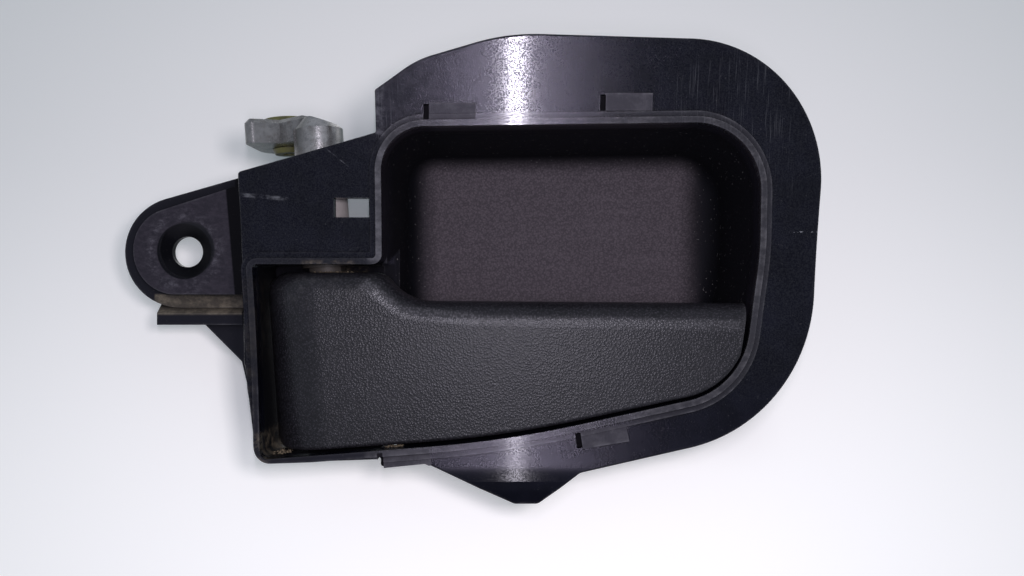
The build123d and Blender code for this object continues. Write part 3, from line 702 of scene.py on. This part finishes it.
def flash_fins(black):
    """Torn scraps of moulding flash along the frame's lower edge."""
    shaky = random.Random(flash_seed)
    for number, (left, right, top, drop) in enumerate(flash_scraps):
        outline = [(left, top), (right, top)]
        for i in range(flash_steps):
            share = (i + 0.5) / flash_steps
            hang = drop * math.sin(math.pi * share) * shaky.uniform(0.6, 1.2)
            outline.append((right + (left - right) * share, top - hang - flash_root))
        back = [(px, flash_y, pz) for px, pz in outline]
        front = [(px, flash_y - flash_thickness * shaky.uniform(0.8, 1.4), pz) for px, pz in outline]
        count = len(outline)
        faces = [tuple(range(count)), tuple(range(2 * count - 1, count - 1, -1))]
        faces += [((i + 1) % count, i, count + i, count + (i + 1) % count) for i in range(count)]
        piece = mesh_piece(f"flash_fin_{number + 1}", back + front, faces, "frame")
        black.onto(piece)


def crumb_nodes():
    """Node group that strews crumbs over a patch, and the identifiers of its inputs."""
    group = bpy.data.node_groups.new("strewn_crumbs", "GeometryNodeTree")
    kinds = {"Patch": "Geometry", "Density": "Float", "Size": "Float", "Seed": "Int", "Dirt": "Material"}
    names = {}
    for label, kind in kinds.items():
        socket = group.interface.new_socket(label, in_out="INPUT", socket_type="NodeSocket" + kind)
        names[label] = socket.identifier
    group.interface.new_socket("Crumbs", in_out="OUTPUT", socket_type="NodeSocketGeometry")
    entry = group.nodes.new("NodeGroupInput")
    given = {label: Wire(group, entry.outputs[label]) for label in kinds}
    start = Wire(group)
    sockets = {"Mesh": given["Patch"], "Density": given["Density"], "Seed": given["Seed"]}
    points = start.make("GeometryNodeDistributePointsOnFaces", sockets)
    crumb = start.make("GeometryNodeMeshIcoSphere", {"Radius": given["Size"], "Subdivisions": 2})
    turn = start.make("FunctionNodeRandomValue", {1: crumb_turns}, data_type="FLOAT_VECTOR")
    sockets = {0: crumb_smallest, 1: crumb_largest, "Seed": crumb_size_seed}
    size = start.make("FunctionNodeRandomValue", sockets, data_type="FLOAT_VECTOR")
    sockets = {"Points": points, "Instance": crumb, "Rotation": turn, "Scale": size}
    strewn = start.make("GeometryNodeInstanceOnPoints", sockets)
    whole = start.make("GeometryNodeRealizeInstances", {"Geometry": strewn})
    lumps = start.make("ShaderNodeTexNoise", {"Scale": crumb_lumps, "Detail": 1.0}, out="Color")
    centred = start.make("ShaderNodeVectorMath", {0: lumps, 1: (0.5, 0.5, 0.5)}, operation="SUBTRACT")
    push = start.make("ShaderNodeVectorMath", {0: centred, "Scale": given["Size"]}, operation="SCALE")
    rugged = start.make("GeometryNodeSetPosition", {"Geometry": whole, "Offset": push})
    done = start.make("GeometryNodeSetMaterial", {"Geometry": rugged, "Material": given["Dirt"]})
    exit_node = group.nodes.new("NodeGroupOutput")
    group.links.new(done.socket, exit_node.inputs["Crumbs"])
    return group, names


def crumbs():
    """Old dirt in the gaps over and under the lever and in the lower left corner of its bay."""
    group, names = crumb_nodes()
    dirt = crumb_finish()
    for name, (body, x, y, z, per_square, size) in crumb_patches.items():
        patch = [(x[0], y[0], z[0]), (x[1], y[0], z[1]), (x[1], y[1], z[1]), (x[0], y[1], z[0])]
        ground = mesh_piece(name + "_patch", patch, [(0, 1, 2, 3)])
        strew = ground.modifiers.new("strew", "NODES")
        strew.node_group = group
        strew[names["Density"]] = per_square * mm**2
        strew[names["Size"]] = size / mm
        strew[names["Seed"]] = crumb_seed
        strew[names["Dirt"]] = dirt.material
        spread = ground.evaluated_get(bpy.context.evaluated_depsgraph_get())
        piece = bpy.data.objects.new(name, bpy.data.meshes.new_from_object(spread))
        scene.collection.objects.link(piece)
        bpy.data.objects.remove(ground)
        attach(piece, body)


def backdrop_rays(start):
    """Mask of the rays that see, mirror or look through to a backdrop."""
    rays = ("Is Camera Ray", "Is Glossy Ray", "Is Transmission Ray")
    return reduce(Wire.either, [start.make("ShaderNodeLightPath", out=ray) for ray in rays])


def pale_table():
    """The pale sheet behind the handle. It takes shadows, and it is clear from behind. Seen and mirrored, it
    has a painted glow that grows brighter downwards, and a painted shadow behind the handle, where it has no
    glow.
    """
    rise = math.tan(table_tilt)
    corners = []
    for side, up in ((-1, -1), (1, -1), (1, 1), (-1, 1)):
        corner_z = up * table_reach
        corners.append((side * table_reach + table_middle_x, table_y + rise * (corner_z - table_z), corner_z))
    table = mesh_piece("table", corners, [(0, 1, 2, 3)])
    paper = Finish("table_pale")
    lower = 1 - paper.z.above(*painted_glow_z)
    # Painted glow, brighter downwards, with a painted shadow behind the handle
    painted_glow = lower.between(0.11, 0.28) * (1 - paper.box(painted_shadow_area, 9.0))
    paper.put(
        Base_Color=(0.93, 0.885, 0.875, 1),
        Roughness=0.8,
        Emission_Color=painted_glow * backdrop_rays(paper.place),
        Emission_Strength=1.0,
    )
    behind = paper.place.make("ShaderNodeNewGeometry", out="Backfacing")
    shadow = paper.place.make("ShaderNodeLightPath", out="Is Shadow Ray")
    clear = paper.place.make("ShaderNodeBsdfTransparent")
    solid = Wire(paper.tree, paper.shader.outputs[0])
    both = paper.place.make("ShaderNodeMixShader", {0: behind.either(shadow), 1: solid, 2: clear})
    output = next(n for n in paper.tree.nodes if n.type == "OUTPUT_MATERIAL")
    paper.tree.links.new(both.socket, output.inputs["Surface"])
    paper.onto(table)


def soft_light(name, place, aim, power, size, colour, mirrored=True):
    """Area lamp, in metres and watts, that may be kept out of mirror images."""
    lamp = bpy.data.lights.new(name, "AREA")
    lamp.energy = power
    lamp.color = colour
    lamp.shape = "RECTANGLE"
    lamp.size, lamp.size_y = size
    holder = bpy.data.objects.new(name, lamp)
    holder.location = place
    holder.rotation_euler = (Vector(aim) - Vector(place)).to_track_quat("-Z", "Y").to_euler()
    holder.visible_glossy = mirrored
    scene.collection.objects.link(holder)


def studio():
    """Soft key by the lens, a strip that draws the streak on the flange, and a light behind."""
    pale_table()
    middle = (0.07, -0.01, 0.0)
    strip_aim = (0.0735, 0.0, 0.0)
    soft_light("key", (0.104, -0.21, 0.008), middle, 0.18, (0.025, 0.025), (1.0, 0.96, 1.0), mirrored=False)
    soft_light("strip", (0.0735, -0.205, 0.0), strip_aim, 0.155, (0.005, 0.05), (0.97, 0.92, 1.06))
    soft_light("back", (0.0, 0.40, 0.30), middle, 2.2, (0.25, 0.25), (1.0, 1.0, 1.0))
    world = bpy.data.worlds.new("studio")
    world.use_nodes = True
    start = Wire(world.node_tree)
    sockets = {mix_amount: backdrop_rays(start), mix_from: world_light, mix_to: world_backdrop}
    colour = start.make("ShaderNodeMix", sockets, out=mix_colour, data_type="RGBA")
    background = world.node_tree.nodes["Background"]
    world.node_tree.links.new(colour.socket, background.inputs["Color"])
    scene.world = world


def photo_camera():
    """Camera at the photograph's viewing angle, level and facing +Y."""
    lens = bpy.data.cameras.new("photo")
    lens.sensor_width = sensor_width
    lens.lens = sensor_width * focal_pixels / photo_width
    lens.clip_start = 0.005
    camera = bpy.data.objects.new("photo", lens)
    camera.location = camera_place
    camera.rotation_euler = (math.radians(90), 0, 0)
    scene.collection.objects.link(camera)
    scene.camera = camera


housing_black = housing_finish()
housing_black.onto(nodes["housing"])
lever_finish().onto(nodes["pull_lever"])
zinc_finish().onto(nodes["crank_shaft"])
bush_finish().onto(nodes["cable_bush"])
steel_finish("clip_steel", *clip_steels).onto(nodes["shaft_clip"])
return_spring()
flash_fins(housing_black)
crumbs()
studio()
photo_camera()
